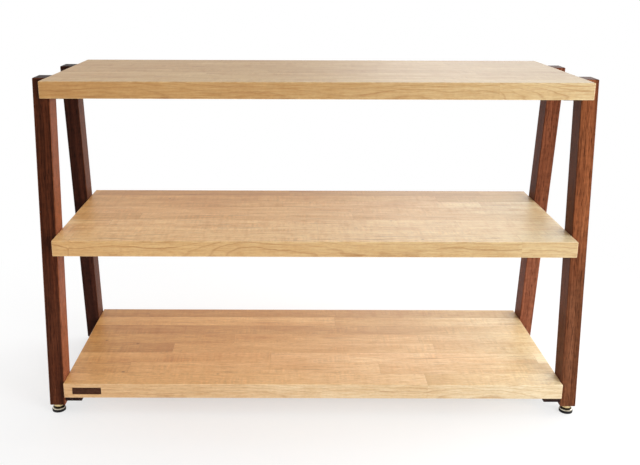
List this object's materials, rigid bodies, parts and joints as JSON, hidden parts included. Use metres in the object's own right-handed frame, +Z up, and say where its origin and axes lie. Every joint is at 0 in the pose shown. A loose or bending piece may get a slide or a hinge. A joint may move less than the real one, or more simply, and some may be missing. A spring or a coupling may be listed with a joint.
{
  "type": "record rack",
  "caption": "Open tiered rack for records and hi-fi: thick pale timber slabs between leaning dark timber legs that stand on screw-adjusted feet.",
  "frame": {"origin": "middle of the bounding box's bottom face, on the floor under the middle of the rack", "axes": "+X along the shelves (to the right seen from the front), +Y from front to rear, +Z up"},
  "size_m": [1.295, 0.457, 0.8175],
  "materials": {
    "shelf_maple": "satin oiled maple, edge-glued staves",
    "leg_walnut": "satin oiled walnut",
    "bearer_timber": "dark satin walnut",
    "foot_brass": "turned, polished",
    "foot_nickel": "nickel plated",
    "foot_black": "matt black"
  },
  "bodies": {
    "rack": {"bottom_shelf": "shelf_maple", "middle_shelf": "shelf_maple", "top_shelf": "shelf_maple", "front_left_leg": "leg_walnut", "front_right_leg": "leg_walnut", "rear_left_leg": "leg_walnut", "rear_right_leg": "leg_walnut", "bottom_left_bearer": "bearer_timber", "bottom_right_bearer": "bearer_timber", "middle_left_bearer": "bearer_timber", "middle_right_bearer": "bearer_timber", "top_left_bearer": "bearer_timber", "top_right_bearer": "bearer_timber", "foot_inserts": "foot_brass"},
    "front_left_foot": {"front_left_foot_base": "foot_black", "front_left_foot_ring": "foot_nickel"},
    "front_left_screw": {"front_left_levelling_screw": "foot_brass"},
    "front_right_foot": {"front_right_foot_base": "foot_black", "front_right_foot_ring": "foot_nickel"},
    "front_right_screw": {"front_right_levelling_screw": "foot_brass"},
    "rear_left_foot": {"rear_left_foot_base": "foot_black", "rear_left_foot_ring": "foot_nickel"},
    "rear_left_screw": {"rear_left_levelling_screw": "foot_brass"},
    "rear_right_foot": {"rear_right_foot_base": "foot_black", "rear_right_foot_ring": "foot_nickel"},
    "rear_right_screw": {"rear_right_levelling_screw": "foot_brass"}
  },
  "joints": [
    {"name": "front_left_foot_travel", "type": "slide", "parent": "rack", "child": "front_left_foot", "axis": [0, 0, -1], "range_m": [0, 0.0125]},
    {"name": "front_left_screw_turn", "type": "hinge", "parent": "front_left_foot", "child": "front_left_screw", "pos_m": [-0.631, -0.2055, 0.022], "axis": [0, 0, -1], "range_deg": [0, 3600]},
    {"name": "front_right_foot_travel", "type": "slide", "parent": "rack", "child": "front_right_foot", "axis": [0, 0, -1], "range_m": [0, 0.0125]},
    {"name": "front_right_screw_turn", "type": "hinge", "parent": "front_right_foot", "child": "front_right_screw", "pos_m": [0.631, -0.2055, 0.022], "axis": [0, 0, -1], "range_deg": [0, 3600]},
    {"name": "rear_left_foot_travel", "type": "slide", "parent": "rack", "child": "rear_left_foot", "axis": [0, 0, -1], "range_m": [0, 0.0125]},
    {"name": "rear_left_screw_turn", "type": "hinge", "parent": "rear_left_foot", "child": "rear_left_screw", "pos_m": [-0.631, 0.2055, 0.022], "axis": [0, 0, -1], "range_deg": [0, 3600]},
    {"name": "rear_right_foot_travel", "type": "slide", "parent": "rack", "child": "rear_right_foot", "axis": [0, 0, -1], "range_m": [0, 0.0125]},
    {"name": "rear_right_screw_turn", "type": "hinge", "parent": "rear_right_foot", "child": "rear_right_screw", "pos_m": [0.631, 0.2055, 0.022], "axis": [0, 0, -1], "range_deg": [0, 3600]}
  ],
  "couplings": [
    {"joint": "front_left_screw_turn", "follows": "front_left_foot_travel", "rad_per_m": 5026.5},
    {"joint": "front_right_screw_turn", "follows": "front_right_foot_travel", "rad_per_m": 5026.5},
    {"joint": "rear_left_screw_turn", "follows": "rear_left_foot_travel", "rad_per_m": 5026.5},
    {"joint": "rear_right_screw_turn", "follows": "rear_right_foot_travel", "rad_per_m": 5026.5}
  ]
}
